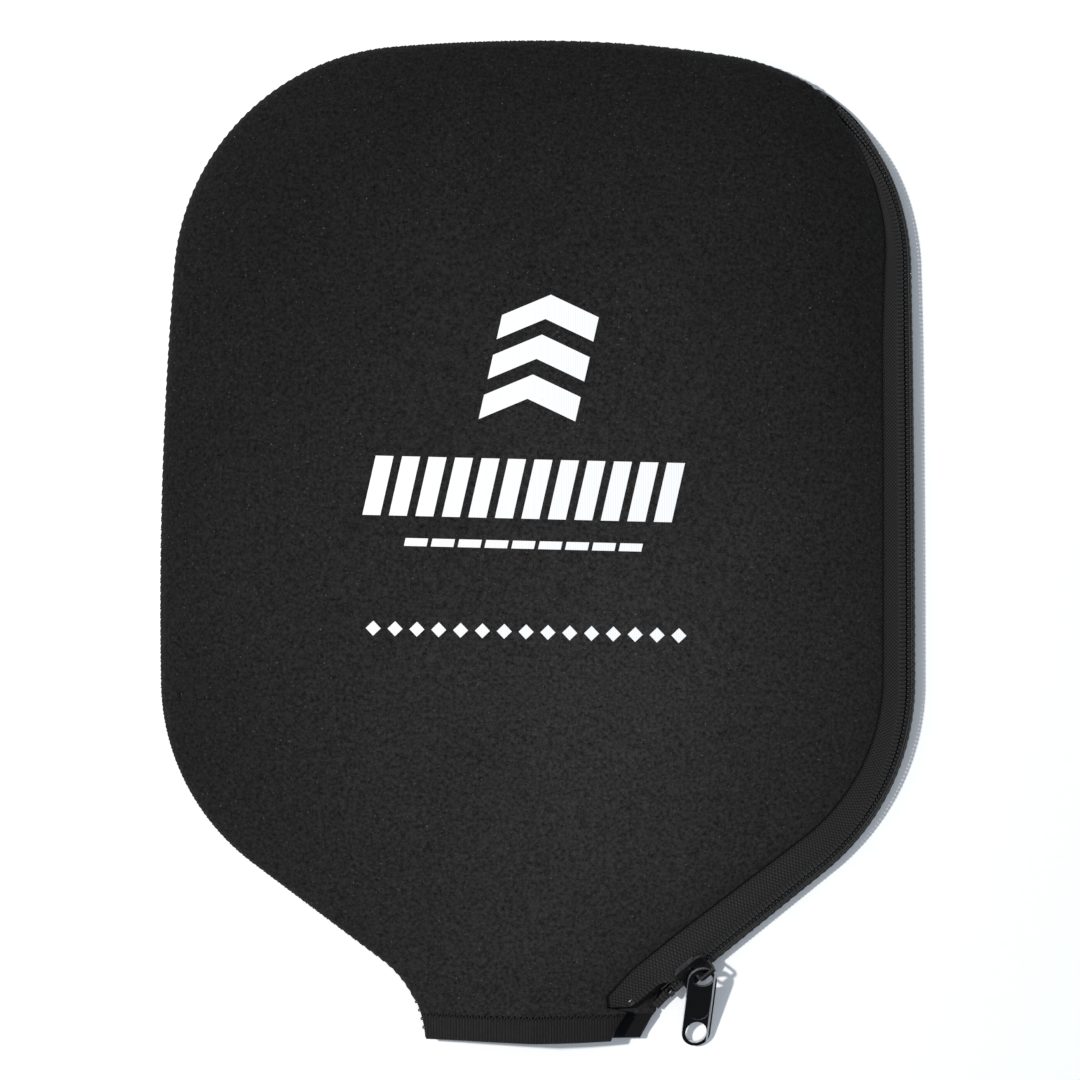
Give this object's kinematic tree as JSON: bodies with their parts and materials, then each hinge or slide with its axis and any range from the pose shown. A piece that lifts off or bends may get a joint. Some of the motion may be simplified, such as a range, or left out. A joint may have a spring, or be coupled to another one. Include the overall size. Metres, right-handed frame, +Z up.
{
  "type": "paddle case",
  "caption": "Zipped padded soft cover for a sports paddle: closed seam on one side and crown, coil zip round the other side, open hemmed neck for the handle.",
  "frame": {"origin": "middle of the underside of the whole object's bounding box, lying on its back panel", "axes": "+X across to the zip side, +Y along the case from the neck hem to the crown, +Z up from the back panel to the front panel"},
  "size_m": [0.2166, 0.2876, 0.0195],
  "materials": {
    "jersey": "matte jersey face bonded to foam",
    "hem_knit": "matte ribbed knit",
    "zip_tape": "matte woven tape",
    "coil": "semi-gloss nylon",
    "thread": "sewing thread",
    "slider_enamel": "glossy black enamel",
    "stop_metal": "dull crimped metal"
  },
  "bodies": {
    "case": {"back_panel": "jersey", "front_panel": "jersey", "closed_seam_thread": "thread", "back_zip_tape": "zip_tape", "front_zip_tape": "zip_tape", "back_coil": "coil", "front_coil": "coil", "zip_bottom_stop": "stop_metal", "back_top_stop": "stop_metal", "back_zip_stitching": "thread", "front_zip_stitching": "thread", "back_hem_band": "hem_knit", "corner_hem_band": "hem_knit", "back_hem_stitching": "thread", "corner_hem_stitching": "thread"},
    "neck_lip": {"neck_lip_panel": "jersey", "lip_zip_tape": "zip_tape", "lip_coil": "coil", "front_top_stop": "stop_metal", "lip_zip_stitching": "thread", "front_hem_band": "hem_knit", "front_hem_stitching": "thread"},
    "slider": {"slider_body": "slider_enamel"},
    "pull": {"pull_tab": "slider_enamel"}
  },
  "joints": [
    {"name": "slider_travel", "type": "slide", "parent": "case", "child": "slider", "axis": [0.7773, 0.6291, 0], "range_m": [0, 0.04]},
    {"name": "pull_swing", "type": "hinge", "parent": "slider", "child": "pull", "pos_m": [0.04729, -0.12107, 0.00863], "axis": [-0.9898, 0.0539, 0.1317], "range_deg": [0, 50]},
    {"name": "lip_open", "type": "hinge", "parent": "case", "child": "neck_lip", "pos_m": [0.02197, -0.11582, 0.01335], "axis": [-0.8779, -0.4788, 0], "range_deg": [0, 40], "deforming": ["lip_coil", "lip_zip_tape"]}
  ],
  "couplings": [
    {"joint": "lip_open", "follows": "slider_travel", "rad_per_m": 17.453}
  ]
}
